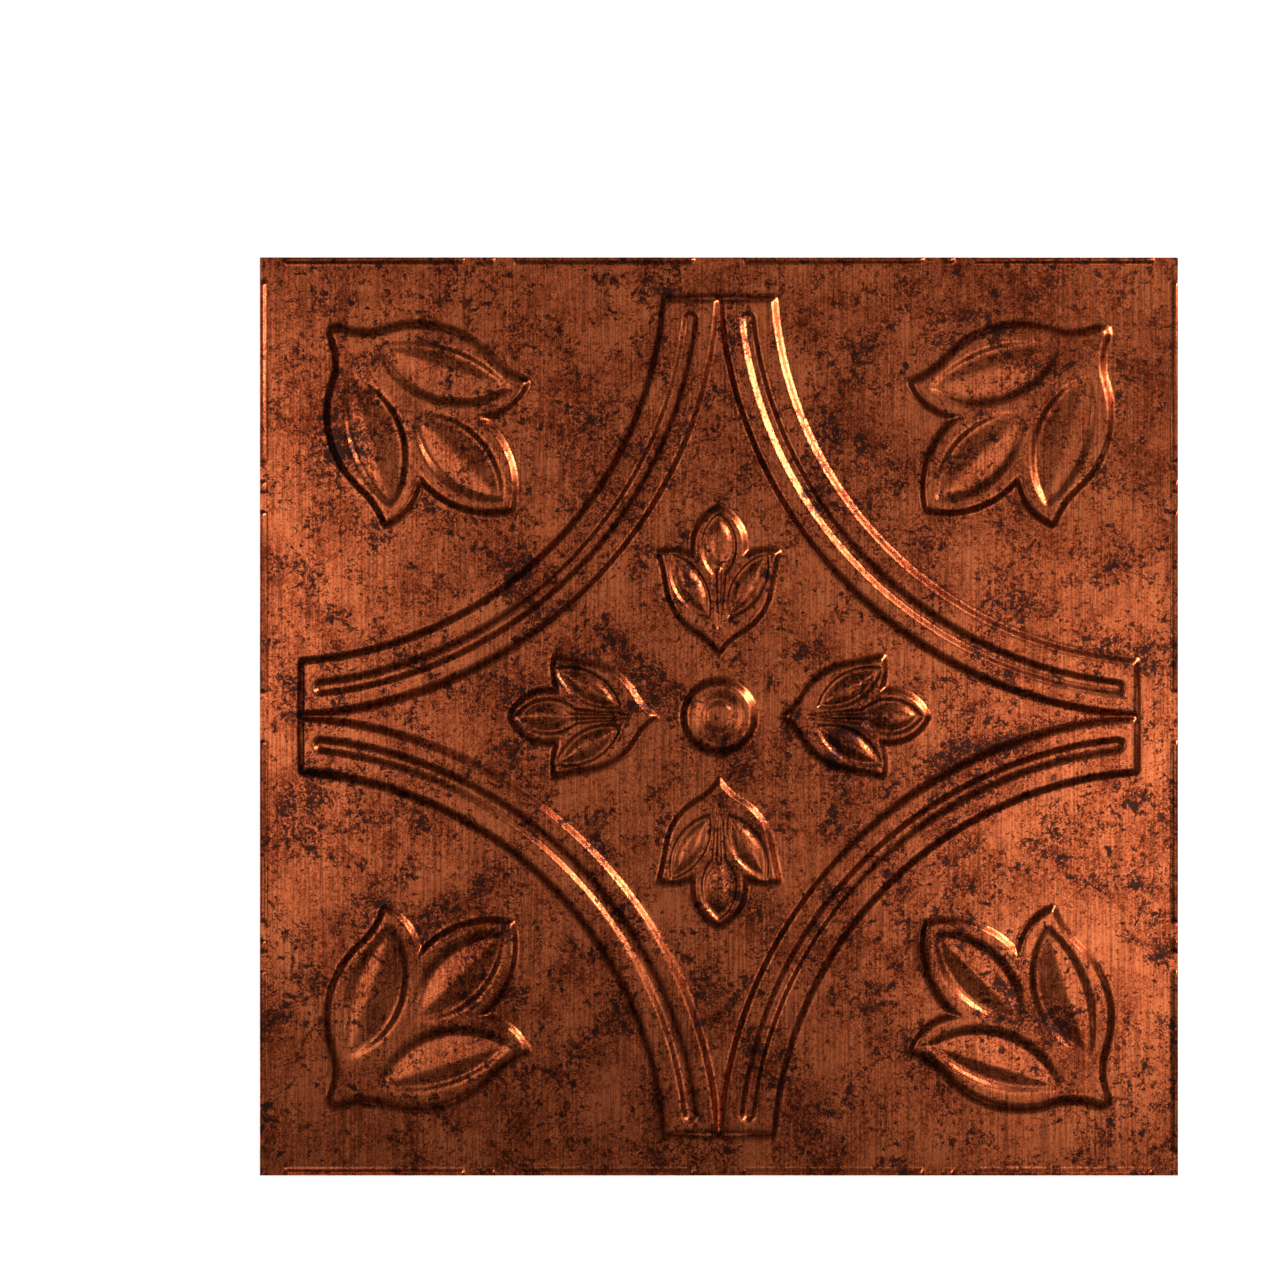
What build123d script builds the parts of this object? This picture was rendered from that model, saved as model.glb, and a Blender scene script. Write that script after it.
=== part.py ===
"""Embossed vinyl ceiling tile: one thin sheet drawn over a mould, in millimetres.

The origin is the middle of the flat back, the patterned face looks along +Z and the edges run along X and Y.
"""
from build123d import *
from math import asin, degrees, radians, tan
import os

# The sheet, and the slope of the mould's walls measured from upright.
side = 603.25
sheet = 0.75
draft = 38.0

# Ribbons: each an arc about a point close to a corner, with a groove along its middle.
band_centre_inset = 10.25
band_radius = 273.25
band_top_width = 32.4
band_height = 4.0
band_end_inset = 25.2
groove_radius = 274.25
groove_floor_width = 5.0
groove_depth = 3.0
groove_end_inset = 40.5
groove_end_sides = 8

# Leaf cluster in each corner, drawn from its base upward: across its axis, then along it.
leaf_base_from_centre = 362.2
leaf_height = 4.0
leaf_ear = (5.4, 2.6)
leaf_shoulder = (25.7, 26.1)
leaf_crest = (53.0, 50.9)
leaf_waist = (62.8, 89.8)
leaf_side_tip = (69.4, 119.0)
leaf_underside = (49.0, 123.3)
leaf_crotch = (20.0, 106.1)
leaf_top_lobe_start = (0.0, 65.6)
leaf_top_lobe_end = (0.0, 172.8)
leaf_top_lobe_bulge = 31.0

# The sunk blade of each lobe: its ends, and how far its sides bow out.
side_blade_start = (13.4, 32.0)
side_blade_end = (55.0, 112.6)
side_blade_inner_bulge = 23.0
side_blade_outer_bulge = 13.2
top_blade_start = (0.0, 80.5)
top_blade_end = (0.0, 161.0)
top_blade_bulge = 18.2
blade_start_depth = 0.4
blade_end_depth = 1.4
blade_slope = 8.0

# Flower on each axis: drawn from the tile's middle outward.
flower_height = 3.5
flower_stem_tip = (0.0, 37.4)
flower_stem_shoulder = (15.0, 53.4)
flower_cup = (28.6, 65.2)
flower_cup_top = (36.2, 83.8)
flower_side_tip = (41.8, 109.5)
flower_side_brow = (30.4, 110.8)
flower_crotch = (8.0, 103.2)
flower_middle_petal_start = (0.0, 84.1)
flower_middle_petal_end = (0.0, 139.6)
flower_middle_petal_bulge = 19.1

# Rosette in the middle: a ring that slopes down to a button.
rosette_radius = 25.4
ring_crest_radius = 21.6
ring_crest_height = 4.0
ring_inner_radius = 12.6
ring_inner_height = 2.8
button_radius = 10.6
button_foot_height = 2.4
button_top_radius = 8.6
button_height = 4.4

# Beads along each edge, and a short one in the gaps a quarter of the way from each end.
bead_width = 5.4
bead_height = 1.3
bead_draft = 55.0
bead_edge_inset = 3.3
beads_per_side = 4
bead_length = 119.0
short_bead_length = 8.2

foot = sheet / 2
wall_run = tan(radians(draft))
on_floor = (Align.CENTER, Align.CENTER, Align.MIN)


def lens(start, end, bulges, low, high, grow_low, grow_high):
    """Leaf-shaped block with coned sides: two arcs from start to end, grown or shrunk at its bottom and top."""
    chord = Vector(*end) - Vector(*start)
    middle = (Vector(*start) + Vector(*end)) / 2
    across = Vector(-chord.Y, chord.X).normalized()
    cones = []
    for outward, bulge in zip((across, -across), bulges):
        radius = (chord.length**2 / 4 + bulge**2) / (2 * bulge)
        centre = middle + outward * (bulge - radius)
        cone = Cone(radius + grow_low, radius + grow_high, high - low, align=on_floor)
        cones.append(Pos(centre.X, centre.Y, low) * cone)
    return cones[0] & cones[1]


def sunk_blade(start, end, bulges):
    """Cutter for a leaf's blade, its floor two flat faces that fall from a ridge between its ends."""
    face = sheet + leaf_height
    ridge_start = Vector(*start, face - blade_start_depth)
    ridge_end = Vector(*end, face - blade_end_depth)
    along = ridge_end - ridge_start
    across = Vector(-along.Y, along.X)
    half_span = leaf_height / tan(radians(blade_slope))
    gable = make_face(Polyline((0, 0), (half_span, -leaf_height), (-half_span, -leaf_height), close=True))
    roof = extrude(Plane(ridge_start - along, x_dir=across, z_dir=along) * gable, 3 * along.length)
    growth = leaf_height * wall_run
    return lens(start, end, bulges, face - leaf_height, face + leaf_height, -growth, growth) - roof


def embossed(outline, height, slope):
    """Raised block over an outline, rooted inside the sheet, with walls leaning in at the slope."""
    return Pos(0, 0, foot) * extrude(outline, sheet + height - foot, taper=slope)


def embossed_lens(start, end, bulge, height):
    top = sheet + height
    return lens(start, end, (bulge, bulge), foot, top, 0, -(top - foot) * wall_run)


def mirrored(point):
    return (-point[0], point[1])


def both_halves(half_outline):
    return make_face(half_outline + [mirror(edge, Plane.YZ) for edge in half_outline])


def quarter_turns(motif, first_angle):
    return [Rot(0, 0, first_angle + 90 * turn) * motif for turn in range(4)]


# Ribbon: its section turned about the arc's centre, cut off square to the tile with ends that lean like its walls.
band_top = sheet + band_height
band_half_top = band_top_width / 2
band_half_foot = band_half_top + (band_top - foot) * wall_run
band_section = Polyline(
    (band_radius - band_half_foot, foot),
    (band_radius + band_half_foot, foot),
    (band_radius + band_half_top, band_top),
    (band_radius - band_half_top, band_top),
    close=True,
)
groove_floor = band_top - groove_depth
groove_half_floor = groove_floor_width / 2
groove_half_mouth = groove_half_floor + 2 * groove_depth * wall_run
groove_section = Polyline(
    (groove_radius - groove_half_floor, groove_floor),
    (groove_radius + groove_half_floor, groove_floor),
    (groove_radius + groove_half_mouth, groove_floor + 2 * groove_depth),
    (groove_radius - groove_half_mouth, groove_floor + 2 * groove_depth),
    close=True,
)
groove_start = degrees(asin((groove_end_inset - band_centre_inset) / groove_radius))
groove_sweep = 90 - 2 * groove_start
groove_mouth = RegularPolygon(groove_half_mouth, groove_end_sides, False, 180 / groove_end_sides)
groove_cup = Pos(groove_radius, 0, groove_floor + 2 * groove_depth) * Rot(180) * extrude(
    groove_mouth, 2 * groove_depth, taper=draft
)
groove_first_end = split(groove_cup, Plane.XZ, Keep.TOP)
groove_last_end = split(groove_cup, Plane.XZ, Keep.BOTTOM)
groove = revolve(Plane.XZ * make_face(groove_section), Axis.Z, groove_sweep)
groove += [groove_first_end, Rot(0, 0, groove_sweep) * groove_last_end]
ring = revolve(Plane.XZ * make_face(band_section), Axis.Z) - Rot(0, 0, groove_start) * groove
band_centre = side / 2 - band_centre_inset
field_side = side - 2 * band_end_inset
field = embossed(Rectangle(field_side, field_side), 2 * band_height, draft)
bands = [turned & field for turned in quarter_turns(Pos(-band_centre, -band_centre) * ring, 0)]

# Leaf cluster: two side lobes in one heart-shaped outline, a top lobe between them, and a sunk blade in each.
leaf_crest_arc = ThreePointArc(leaf_shoulder, leaf_crest, leaf_waist)
leaf_half = [
    leaf_crest_arc,
    TangentArc(leaf_waist, leaf_side_tip, tangent=leaf_crest_arc % 1),
    ThreePointArc(leaf_side_tip, leaf_underside, leaf_crotch),
    Line(leaf_crotch, (0, leaf_crotch[1])),
    Line((0, 0), leaf_ear),
    TangentArc(leaf_shoulder, leaf_ear, tangent=-(leaf_crest_arc % 0)),
]
leaf = embossed(both_halves(leaf_half), leaf_height, draft)
leaf += embossed_lens(leaf_top_lobe_start, leaf_top_lobe_end, leaf_top_lobe_bulge, leaf_height)
right_bulges = (side_blade_inner_bulge, side_blade_outer_bulge)
left_bulges = (side_blade_outer_bulge, side_blade_inner_bulge)
leaf -= [
    sunk_blade(side_blade_start, side_blade_end, right_bulges),
    sunk_blade(mirrored(side_blade_start), mirrored(side_blade_end), left_bulges),
    sunk_blade(top_blade_start, top_blade_end, (top_blade_bulge, top_blade_bulge)),
]
leaves = quarter_turns(Pos(0, -leaf_base_from_centre) * leaf, 45)

# Flower: two side petals in one cup-shaped outline, and a middle petal between them.
flower_cup_arc = ThreePointArc(flower_stem_shoulder, flower_cup, flower_cup_top)
flower_half = [
    flower_cup_arc,
    TangentArc(flower_cup_top, flower_side_tip, tangent=flower_cup_arc % 1),
    ThreePointArc(flower_side_tip, flower_side_brow, flower_crotch),
    Line(flower_crotch, (0, flower_crotch[1])),
    TangentArc(flower_stem_shoulder, flower_stem_tip, tangent=-(flower_cup_arc % 0)),
]
flower = embossed(both_halves(flower_half), flower_height, draft)
flower += embossed_lens(
    flower_middle_petal_start, flower_middle_petal_end, flower_middle_petal_bulge, flower_height
)
flowers = quarter_turns(flower, 0)

# Rosette: its section turned about the tile's middle.
rosette_section = Polyline(
    (0, foot),
    (rosette_radius + (sheet - foot) * wall_run, foot),
    (ring_crest_radius, sheet + ring_crest_height),
    (ring_inner_radius, sheet + ring_inner_height),
    (button_radius, sheet + button_foot_height),
    (button_top_radius, sheet + button_height),
    (0, sheet + button_height),
    close=True,
)
rosette = revolve(Plane.XZ * make_face(rosette_section), Axis.Z)

# Beads: low ridges with sloped ends, in a row along each edge.
bead_foot_growth = 2 * (sheet - foot) * tan(radians(bead_draft))
edge_line = Pos(0, side / 2 - bead_edge_inset)
bead_pitch = side / beads_per_side
long_spots = GridLocations(bead_pitch, 0, beads_per_side, 1)
short_spots = GridLocations(2 * bead_pitch, 0, 2, 1)
bead_row = []
for length, spots in ((bead_length, long_spots), (short_bead_length, short_spots)):
    bead_outline = Rectangle(length + bead_foot_growth, bead_width + bead_foot_growth)
    bead_row += [edge_line * spot * embossed(bead_outline, bead_height, bead_draft) for spot in spots]
beads = [turned for bead in bead_row for turned in quarter_turns(bead, 0)]

# The sheet follows the relief: what stands up in front is hollow by the same shape behind.
relief = bands + leaves + flowers + [rosette] + beads
slab = Box(side, side, sheet, align=on_floor)
tile = slab + relief - [Pos(0, 0, -sheet) * motif for motif in relief]

os.makedirs("parts", exist_ok=True)
export_step(tile, "parts/ceiling_tile.step")
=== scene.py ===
from math import pi, radians

import bpy
import numpy as np
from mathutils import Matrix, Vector


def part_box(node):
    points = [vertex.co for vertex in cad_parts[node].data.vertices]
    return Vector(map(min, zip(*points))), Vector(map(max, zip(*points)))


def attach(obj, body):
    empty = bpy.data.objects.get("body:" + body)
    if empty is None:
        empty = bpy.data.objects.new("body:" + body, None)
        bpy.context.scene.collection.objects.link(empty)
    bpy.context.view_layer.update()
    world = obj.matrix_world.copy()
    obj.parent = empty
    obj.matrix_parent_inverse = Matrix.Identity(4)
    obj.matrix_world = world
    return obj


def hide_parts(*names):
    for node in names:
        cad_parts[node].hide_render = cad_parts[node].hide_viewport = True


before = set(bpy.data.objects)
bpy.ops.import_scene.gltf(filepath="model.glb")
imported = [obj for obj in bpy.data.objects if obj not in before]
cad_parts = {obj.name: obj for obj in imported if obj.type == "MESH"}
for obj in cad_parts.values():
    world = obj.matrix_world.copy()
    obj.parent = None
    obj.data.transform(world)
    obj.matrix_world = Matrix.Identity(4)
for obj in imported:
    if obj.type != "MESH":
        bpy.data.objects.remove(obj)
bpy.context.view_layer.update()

# Tile: one sheet of rigid vinyl, 0.75 mm thick, heated and drawn over a mould so that its face carries the
# ribbons, leaves, flowers and rosette, and its back is hollow behind them. The face is a metallic film
# printed with patina.
mm = 0.001
sheet = 0.75 * mm
film_spacing = 0.75 * mm
film_softness_passes = 4
edge_clearance = 0.12 * mm
same_point = 0.001 * mm
face_triangles = 96000
sharp_edge = radians(60)
low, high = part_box("ceiling_tile")
side = high.x - low.x

bpy.ops.object.select_all(action="DESELECT")
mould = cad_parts["ceiling_tile"].copy()
mould.data = mould.data.copy()
bpy.context.collection.objects.link(mould)
bpy.context.view_layer.objects.active = mould
mould.select_set(True)
bpy.ops.object.mode_set(mode="EDIT")
bpy.ops.mesh.select_all(action="SELECT")
bpy.ops.mesh.remove_doubles(threshold=same_point)
bpy.ops.object.mode_set(mode="OBJECT")

# The sheet starts flat above the mould and is drawn down onto it.
bpy.ops.object.select_all(action="DESELECT")
squares = round(side / film_spacing)
bpy.ops.mesh.primitive_grid_add(
    x_subdivisions=squares,
    y_subdivisions=squares,
    size=side - 2 * edge_clearance,
    location=(0, 0, 2 * high.z),
    calc_uvs=False,
)
tile = bpy.context.object
tile.name = "tile"
bpy.ops.object.transform_apply(location=True)
draw = tile.modifiers.new("Draw onto the mould", "SHRINKWRAP")
draw.target = mould
draw.wrap_method = "PROJECT"
draw.use_project_z = True
draw.use_positive_direction = False
draw.use_negative_direction = True
bpy.ops.object.modifier_apply(modifier=draw.name)
bpy.data.objects.remove(mould)

# The beads along each cut edge lean outward: each climbs slowly from the ground and drops steeply to the cut.
# Places are in from the cut, in millimetres, and heights are shares of the mould's own bead.
bead_middle = 3.3
bead_zone = 6.5
bead_places = (0, 0.7, 1.4, 4.6)
bead_heights = (0, 1.5, 1.65, 0)
points = np.empty(len(tile.data.vertices) * 3, np.float32)
tile.data.vertices.foreach_get("co", points)
points = points.reshape(-1, 3)
heights = points[:, 2].reshape(squares + 1, squares + 1)
from_cut = np.arange(squares + 1) * film_spacing / mm
crest_row = np.argmin(np.abs(from_cut - bead_middle))
bead_rows = from_cut < bead_zone
bead_profile = np.interp(from_cut[bead_rows], bead_places, bead_heights)
for edge in (heights, heights[::-1], heights.T, heights.T[::-1]):
    rise = edge[crest_row] - sheet
    edge[bead_rows] = sheet + np.outer(bead_profile, rise)
tile.data.vertices.foreach_set("co", points.ravel())


def slacken(name, passes, weights):
    """Softens the sheet's heights, each set of points by its weight, and reads the points again."""
    group = tile.vertex_groups.new(name=name)
    for weight, chosen in weights:
        group.add(np.flatnonzero(chosen).tolist(), weight, "REPLACE")
    smooth = tile.modifiers.new("Slacken over the " + name, "SMOOTH")
    smooth.vertex_group = group.name
    smooth.use_x = False
    smooth.use_y = False
    smooth.factor = 0.5
    smooth.iterations = passes
    bpy.ops.object.modifier_apply(modifier=smooth.name)
    tile.vertex_groups.clear()
    tile.data.vertices.foreach_get("co", points.ravel())


# Heated vinyl does not follow a mould's sharp edges: the motifs' walls soften over a few millimetres, and the
# narrow beads along the edges stay crisper.
motif_softness_passes = 15
bead_softness = 0.1
edge_margin = 11
x, y = points[:, 0] / mm, points[:, 1] / mm
out = np.maximum(np.abs(x), np.abs(y))
across = np.minimum(np.abs(x), np.abs(y))
in_margin = out > side / mm / 2 - edge_margin
slacken("motifs", motif_softness_passes, ((1.0, ~in_margin), (bead_softness, in_margin)))


def inside_lens(across, along, start, end, left_bulge, right_bulge):
    """How far each point lies inside a lens of two arcs between two ends."""
    start, end = np.array(start), np.array(end)
    chord = end - start
    length = np.hypot(*chord)
    normal = np.array((-chord[1], chord[0])) / length
    depths = []
    for bulge, way in ((left_bulge, normal), (right_bulge, -normal)):
        radius = (length**2 / 4 + bulge**2) / (2 * bulge)
        centre = (start + end) / 2 + way * (bulge - radius)
        depths.append(radius - np.hypot(across - centre[0], along - centre[1]))
    return np.minimum(*depths)


# The drawn sheet spans the edges of the leaves' sunk blades more slackly still. Ends are (across the leaf
# cluster, in from its base), in millimetres.
blade_softness_passes = 16
blade_edge_width = 11.0
leaf_base = 362.2
leaf_across = np.abs(np.abs(x) - np.abs(y)) / np.sqrt(2)
leaf_along = leaf_base - (np.abs(x) + np.abs(y)) / np.sqrt(2)
side_blade = inside_lens(leaf_across, leaf_along, (13.4, 32.0), (55.0, 112.6), 23.0, 13.2)
top_blade = inside_lens(leaf_across, leaf_along, (0, 80.5), (0, 161.0), 18.2, 18.2)
at_blade_edge = np.abs(np.maximum(side_blade, top_blade)) < blade_edge_width / 2
slacken("blade edges", blade_softness_passes, ((1.0, at_blade_edge),))


def ramp(value, start, end):
    """Smooth step from 0 at the start to 1 at the end."""
    share = np.clip((value - start) / (end - start), 0, 1)
    return share * share * (3 - 2 * share)


# Fine relief of the mould: each flower's petals hold a pillow with a groove round it, and a stalk runs
# between two grooves below the middle one. Ends are (across the flower, out from the tile's middle), in
# millimetres.
groove_wall = 0.9
groove_depth = 1.5
pillow_height = 2.3
stalk_height = 1.6
middle_bulge = 8.8
side_bulge = 7.2
channel_foot = 57.5
channel_top = 100
middle_panel = inside_lens(across, out, (0, 90.0), (0, 133.5), 11.4, 11.4)
side_panel = inside_lens(across, out, (6.4, 64.6), (31.6, 107.0), 9.8, 9.8)
channel_half = np.interp(out, (channel_foot, 72, 94), (0.3, 2.6, 4.4))
in_channel = (out > channel_foot) & (out < channel_top)
channel = np.where(in_channel, channel_half - across, -9)
sunk = ramp(np.maximum(np.maximum(middle_panel, side_panel), channel), -groove_wall, groove_wall)
middle_pillow = inside_lens(across, out, (0, 97.0), (0, 130.0), middle_bulge, middle_bulge) / middle_bulge
side_pillow = inside_lens(across, out, (8.2, 68.0), (29.2, 103.4), side_bulge, side_bulge) / side_bulge
pillow = 1 - (1 - np.clip(np.maximum(middle_pillow, side_pillow), 0, 1)) ** 2
stalk = ramp(across, 0.55 * channel_half, 0.15 * channel_half)
stalk = stalk * ramp(out, 58.5, 66) * ramp(out, channel_top, 95)
filled = np.maximum(pillow_height * pillow, stalk_height * stalk)
points[:, 2] -= (groove_depth * sunk - filled * (sunk > 0)) * mm

# The rosette's ring is crowned and its button domed.
ring_middle = 17.2
ring_half_width = 4.6
ring_rise = 0.7
button_radius = 8.6
button_reach = 10
button_fall = 0.5
from_middle = np.hypot(x, y)
ring_crown = np.clip(1 - ((from_middle - ring_middle) / ring_half_width) ** 2, 0, 1)
button_dome = np.clip(from_middle / button_radius, 0, 1) ** 2 * (from_middle < button_reach)
points[:, 2] += ring_rise * ring_crown * mm
points[:, 2] -= button_fall * button_dome * mm
tile.data.vertices.foreach_set("co", points.ravel())
tile.data.update()

soften = tile.modifiers.new("Soften the film", "SMOOTH")
soften.use_x = False
soften.use_y = False
soften.factor = 0.5
soften.iterations = film_softness_passes
thin = tile.modifiers.new("Thin the flats", "DECIMATE")
thin.ratio = face_triangles / (2 * squares**2)
gauge = tile.modifiers.new("Sheet gauge", "SOLIDIFY")
gauge.thickness = sheet
gauge.offset = -1
gauge.material_offset = 1
gauge.material_offset_rim = 1
for modifier in list(tile.modifiers):
    bpy.ops.object.modifier_apply(modifier=modifier.name)
bpy.ops.object.shade_smooth_by_angle(angle=sharp_edge)
even = tile.modifiers.new("Flats keep flat", "WEIGHTED_NORMAL")
even.keep_sharp = True
bpy.ops.object.modifier_apply(modifier=even.name)


def srgb(code):
    """Linear colour of an sRGB hex code."""
    parts = [int(code[i : i + 2], 16) / 255 for i in (1, 3, 5)]
    return [p / 12.92 if p <= 0.04045 else ((p + 0.055) / 1.055) ** 2.4 for p in parts] + [1.0]


def add(tree, kind, inputs=(), **settings):
    """Adds a node with its settings, and links or sets its inputs."""
    node = tree.nodes.new(kind)
    for name, value in settings.items():
        setattr(node, name, value)
    for socket, value in dict(inputs).items():
        if isinstance(value, bpy.types.NodeSocket):
            tree.links.new(value, node.inputs[socket])
        else:
            node.inputs[socket].default_value = value
    return node


# Brushed copper-toned metallised film, printed with dark patina under a clear satin coat: orange metal with
# fine upright brush lines, and crisp curly brown-black specks that gather in clouds.
film = bpy.data.materials.new("brushed_copper_film_printed_patina")
film.use_nodes = True
tree = film.node_tree
shader = tree.nodes["Principled BSDF"]
coordinates = add(tree, "ShaderNodeTexCoord")
place = coordinates.outputs["Object"]

# The print adds up clouds of 55 mm, clusters of 30 mm, chips of 6 mm and curls of 2.6 mm, each with finer
# detail down to half a millimetre. Where the sum is high the ink is brown, and where it is highest it is
# nearly black.
clouds = add(
    tree,
    "ShaderNodeTexNoise",
    {"Vector": place, "Scale": 1 / 0.055, "Detail": 6.6, "Roughness": 0.85, "Distortion": 0.3},
)
clusters = add(
    tree,
    "ShaderNodeTexNoise",
    {"Vector": place, "Scale": 1 / 0.03, "Detail": 6.0, "Roughness": 0.85, "Distortion": 0.6},
)
chips = add(
    tree,
    "ShaderNodeTexNoise",
    {"Vector": place, "Scale": 1 / 0.006, "Detail": 3.0, "Roughness": 0.6, "Distortion": 0.6},
    noise_type="RIDGED_MULTIFRACTAL",
)
curls = add(
    tree,
    "ShaderNodeTexNoise",
    {"Vector": place, "Scale": 1 / 0.0026, "Detail": 3.0, "Roughness": 0.65, "Distortion": 1.5},
)
clouded = add(
    tree,
    "ShaderNodeMath",
    {0: clouds.outputs["Fac"], 1: 1.25, 2: clusters.outputs["Fac"]},
    operation="MULTIPLY_ADD",
)
chipped = add(
    tree,
    "ShaderNodeMath",
    {0: chips.outputs["Fac"], 1: 0.5, 2: clouded.outputs[0]},
    operation="MULTIPLY_ADD",
)
print_depth = add(
    tree,
    "ShaderNodeMath",
    {0: curls.outputs["Fac"], 1: 0.8, 2: chipped.outputs[0]},
    operation="MULTIPLY_ADD",
)
ink = add(
    tree,
    "ShaderNodeMapRange",
    {"Value": print_depth.outputs[0], "From Min": 1.59, "From Max": 1.65, "To Max": 0.7},
    interpolation_type="SMOOTHSTEP",
)
core = add(
    tree,
    "ShaderNodeMapRange",
    {"Value": print_depth.outputs[0], "From Min": 1.68, "From Max": 1.755, "To Max": 0.84},
    interpolation_type="SMOOTHSTEP",
)

# Brush strokes 1.5 mm apart and 60 mm long, drawn coarser than the real ones so that they show.
stretch = add(tree, "ShaderNodeMapping", {"Vector": place, "Scale": (1 / 0.0015, 1 / 0.06, 1.0)})
strokes = add(
    tree,
    "ShaderNodeTexNoise",
    {"Vector": stretch.outputs[0], "Scale": 1.0, "Detail": 2.0, "Roughness": 0.6},
)
stroke_tone = add(
    tree,
    "ShaderNodeMapRange",
    {"Value": strokes.outputs["Fac"], "From Min": 0.3, "From Max": 0.7, "To Min": 0.55, "To Max": 1.45},
)
tone = add(
    tree,
    "ShaderNodeTexNoise",
    {"Vector": place, "Scale": 1 / 0.06, "Detail": 7.0, "Roughness": 0.75, "Distortion": 0.2},
)
worn = add(tree, "ShaderNodeMath", {0: tone.outputs["Fac"], 1: curls.outputs["Fac"]})
burnish = add(tree, "ShaderNodeMapRange", {"Value": worn.outputs[0], "From Min": 1.153, "From Max": 0.847})
copper = add(
    tree,
    "ShaderNodeMix",
    {"Factor": burnish.outputs[0], "A": srgb("#8E381C"), "B": srgb("#FF824D")},
    data_type="RGBA",
)
brushed = add(
    tree,
    "ShaderNodeMix",
    {"Factor": 1.0, "A": copper.outputs["Result"], "B": stroke_tone.outputs[0]},
    data_type="RGBA",
    blend_type="MULTIPLY",
)
inked = add(
    tree,
    "ShaderNodeMix",
    {"Factor": ink.outputs[0], "A": brushed.outputs["Result"], "B": srgb("#68240F")},
    data_type="RGBA",
)
cored = add(
    tree,
    "ShaderNodeMix",
    {"Factor": core.outputs[0], "A": inked.outputs["Result"], "B": srgb("#301814")},
    data_type="RGBA",
)

# Painted shade: the base colour is darkened where the surface tilts steeply, on the walls of the relief, down
# to 0.8 of itself on the steepest walls.
facing = add(tree, "ShaderNodeSeparateXYZ", {0: coordinates.outputs["Normal"]})
painted_wall_shade = add(
    tree,
    "ShaderNodeMapRange",
    {"Value": facing.outputs["Z"], "From Min": 0.92, "From Max": 0.76, "To Min": 1.0, "To Max": 0.8},
    interpolation_type="SMOOTHSTEP",
)
wall_shaded_colour = add(
    tree,
    "ShaderNodeMix",
    {"Factor": 1.0, "A": cored.outputs["Result"], "B": painted_wall_shade.outputs[0]},
    data_type="RGBA",
    blend_type="MULTIPLY",
)
# The base colour carries the painted shade of the steep walls.
tree.links.new(wall_shaded_colour.outputs["Result"], shader.inputs["Base Color"])
metal = add(tree, "ShaderNodeMapRange", {"Value": core.outputs[0], "To Min": 1.0, "To Max": 0.75})
tree.links.new(metal.outputs[0], shader.inputs["Metallic"])
satin = add(tree, "ShaderNodeMapRange", {"Value": ink.outputs[0], "To Min": 0.28, "To Max": 0.36})
tree.links.new(satin.outputs[0], shader.inputs["Roughness"])
shader.inputs["Coat Weight"].default_value = 0.06
shader.inputs["Coat Roughness"].default_value = 0.25
scratch = add(
    tree,
    "ShaderNodeBump",
    {"Height": strokes.outputs["Fac"], "Strength": 0.12, "Distance": 0.00012},
)
tree.links.new(scratch.outputs[0], shader.inputs["Normal"])
tile.data.materials.append(film)

# Bare rigid vinyl on the back and the cut edge: calendered smooth, dull warm grey-brown.
vinyl = bpy.data.materials.new("calendered_rigid_vinyl")
vinyl.use_nodes = True
tree = vinyl.node_tree
shader = tree.nodes["Principled BSDF"]
place = add(tree, "ShaderNodeTexCoord").outputs["Object"]
mottle = add(tree, "ShaderNodeTexNoise", {"Vector": place, "Scale": 1 / 0.02, "Detail": 4.0})
shade = add(
    tree,
    "ShaderNodeMix",
    {"Factor": mottle.outputs["Fac"], "A": srgb("#3C3230"), "B": srgb("#4A3F3C")},
    data_type="RGBA",
)
tree.links.new(shade.outputs["Result"], shader.inputs["Base Color"])
matt = add(tree, "ShaderNodeTexNoise", {"Vector": place, "Scale": 1 / 0.0012, "Detail": 2.0})
dull = add(tree, "ShaderNodeMapRange", {"Value": matt.outputs["Fac"], "To Min": 0.45, "To Max": 0.65})
tree.links.new(dull.outputs[0], shader.inputs["Roughness"])
grain = add(tree, "ShaderNodeBump", {"Height": matt.outputs["Fac"], "Strength": 0.2, "Distance": 0.00005})
tree.links.new(grain.outputs[0], shader.inputs["Normal"])
tile.data.materials.append(vinyl)

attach(tile, "root")
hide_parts("ceiling_tile")

# Floor: plain white paper that the tile lies on, white to the camera and in reflections.
floor_size = 12
floor_gap = 0.2 * mm
paper_glow = 0.85
bpy.ops.object.select_all(action="DESELECT")
bpy.ops.mesh.primitive_plane_add(size=floor_size, location=(0, 0, -floor_gap))
floor = bpy.context.object
floor.name = "floor"
bpy.ops.object.transform_apply(location=True)
paper = bpy.data.materials.new("matt_white_paper")
paper.use_nodes = True
tree = paper.node_tree
shader = tree.nodes["Principled BSDF"]
shader.inputs["Base Color"].default_value = srgb("#F2F2F2")
shader.inputs["Roughness"].default_value = 0.9
shader.inputs["Specular IOR Level"].default_value = 0.1
path = add(tree, "ShaderNodeLightPath")
seen = add(
    tree,
    "ShaderNodeMath",
    {0: path.outputs["Is Camera Ray"], 1: path.outputs["Is Glossy Ray"]},
    operation="MAXIMUM",
)
shown = add(
    tree,
    "ShaderNodeMath",
    {0: seen.outputs[0], 1: path.outputs["Is Transmission Ray"]},
    operation="MAXIMUM",
)
glow = add(tree, "ShaderNodeMath", {0: shown.outputs[0], 1: paper_glow}, operation="MULTIPLY")
shader.inputs["Emission Color"].default_value = (1, 1, 1, 1)
tree.links.new(glow.outputs[0], shader.inputs["Emission Strength"])
floor.data.materials.append(paper)

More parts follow.
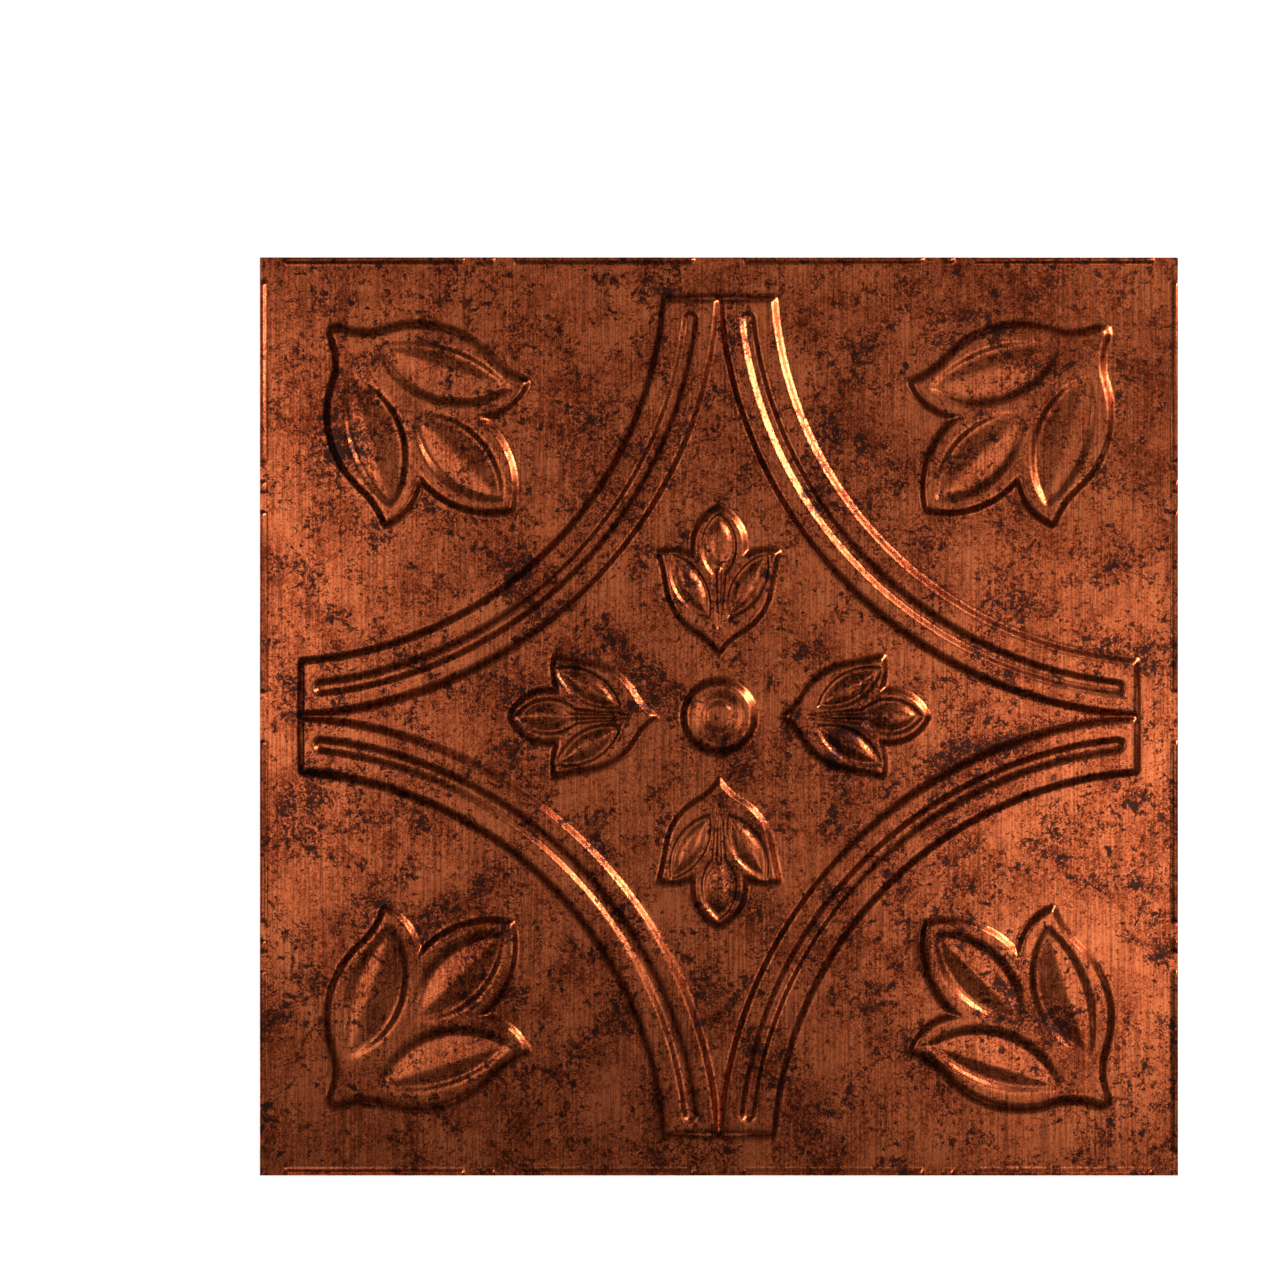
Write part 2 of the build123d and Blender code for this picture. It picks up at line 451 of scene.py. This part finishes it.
# Studio light: a soft panel high overhead, one nearer over each side, and an upright strip past the far right
# corner, in a dim room.
world = bpy.data.worlds.new("dim_studio")
bpy.context.scene.world = world
world.use_nodes = True
tree = world.node_tree
way = add(tree, "ShaderNodeSeparateXYZ", {0: add(tree, "ShaderNodeTexCoord").outputs["Generated"]})
dome = add(
    tree,
    "ShaderNodeMapRange",
    {"Value": way.outputs["Z"], "From Min": 0.0, "From Max": 0.9, "To Min": 0.03, "To Max": 0.08},
)
tree.links.new(dome.outputs[0], tree.nodes["Background"].inputs["Strength"])
tree.nodes["Background"].inputs["Color"].default_value = (1, 1, 1, 1)


def panel(name, place, aim, width, height, radiance):
    """Adds a soft box that the camera does not see, turned towards its aim."""
    bpy.ops.object.light_add(type="AREA", location=place)
    box = bpy.context.object
    box.name = name
    box.data.shape = "RECTANGLE"
    box.data.size = width
    box.data.size_y = height
    box.data.energy = radiance * width * height * pi
    away = box.location - Vector(aim)
    box.rotation_euler = away.to_track_quat("Z", "Y").to_euler()
    box.visible_camera = False


panel("panel_left", (-0.46, 0.05, 0.75), (-0.46, 0.05, 0), 0.38, 0.42, 1.05)
panel("panel_right", (0.39, -0.1, 0.65), (0.39, -0.1, 0), 0.42, 0.36, 0.92)
panel("panel_above", (0.05, 0.2, 3.0), (0.05, 0.2, 0), 1.0, 0.95, 0.355)
panel("low_strip", (0.65, 0.45, 0.4), (0.05, 0.2, 0.3), 0.18, 0.64, 16)

# Camera: straight above the tile through a long lens, with the tile low and to the right in the frame.
image_width = 1280
tile_pixels = 918.4
tile_centre = (719.0, 716.4)
camera_height = 6.0
metres_per_pixel = side / tile_pixels
camera = bpy.data.cameras.new("camera")
camera.lens = camera.sensor_width * camera_height / (metres_per_pixel * image_width)
viewer = bpy.data.objects.new("camera", camera)
bpy.context.scene.collection.objects.link(viewer)
viewer.location = (
    (image_width / 2 - tile_centre[0]) * metres_per_pixel,
    (tile_centre[1] - image_width / 2) * metres_per_pixel,
    camera_height,
)
bpy.context.scene.camera = viewer
bpy.context.scene.view_settings.view_transform = "Standard"
